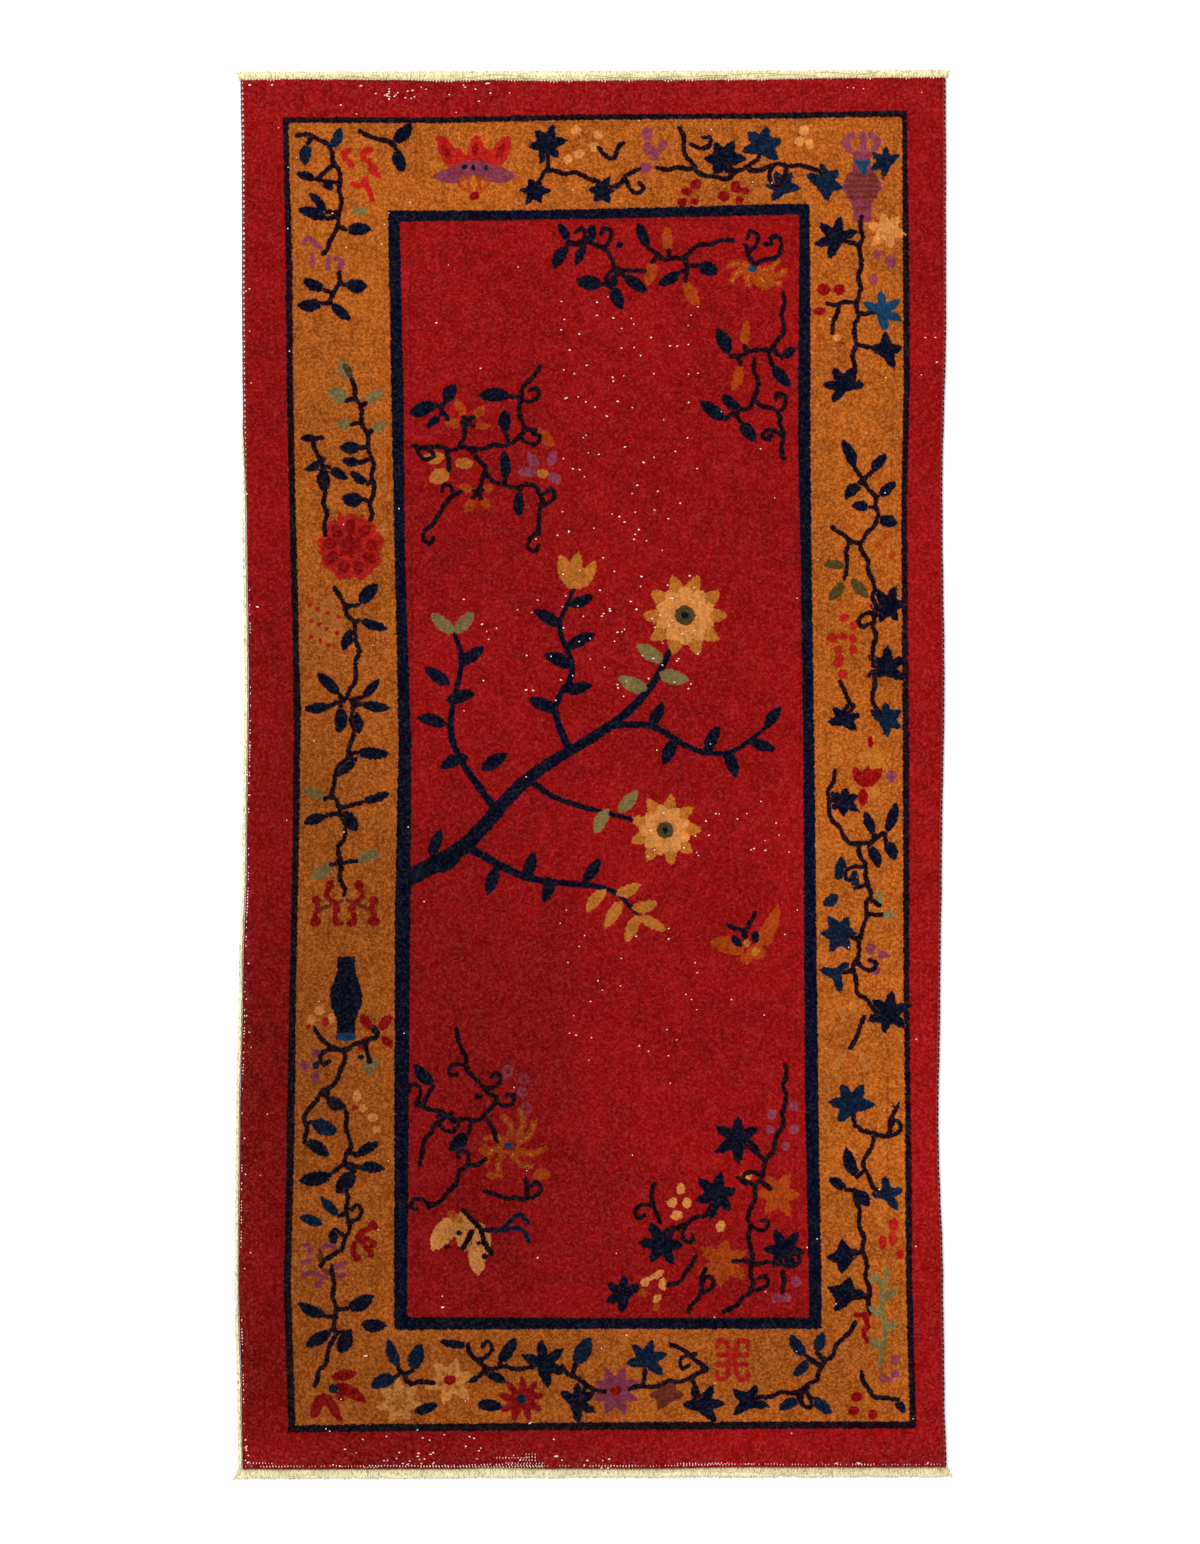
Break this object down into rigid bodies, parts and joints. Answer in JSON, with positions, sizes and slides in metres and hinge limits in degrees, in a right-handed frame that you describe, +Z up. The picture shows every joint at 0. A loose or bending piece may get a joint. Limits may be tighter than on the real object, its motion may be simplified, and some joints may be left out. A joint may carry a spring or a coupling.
{
  "type": "chinese art deco rug",
  "caption": "Flat rectangular wool pile rug with cord-bound sides and short frayed cotton ends, laid pile up on a floor.",
  "frame": {"origin": "on the floor, under the middle of the rug's whole outline, frayed ends included", "axes": "+X across the rug, +Y along it towards the end that is the picture's top, +Z up out of the pile"},
  "size_m": [0.9246, 1.829, 0.0083],
  "materials": {
    "pile_wool": "dull cut wool pile with a faint sheen",
    "edge_wool": "tightly wrapped wool yarn",
    "web_cotton": "undyed plain-woven cotton, frayed at its outer edge"
  },
  "bodies": {
    "root": {"pile_body": "pile_wool", "selvedge_left": "edge_wool", "selvedge_right": "edge_wool", "web_end_top": "web_cotton", "web_end_bottom": "web_cotton"}
  },
  "joints": []
}
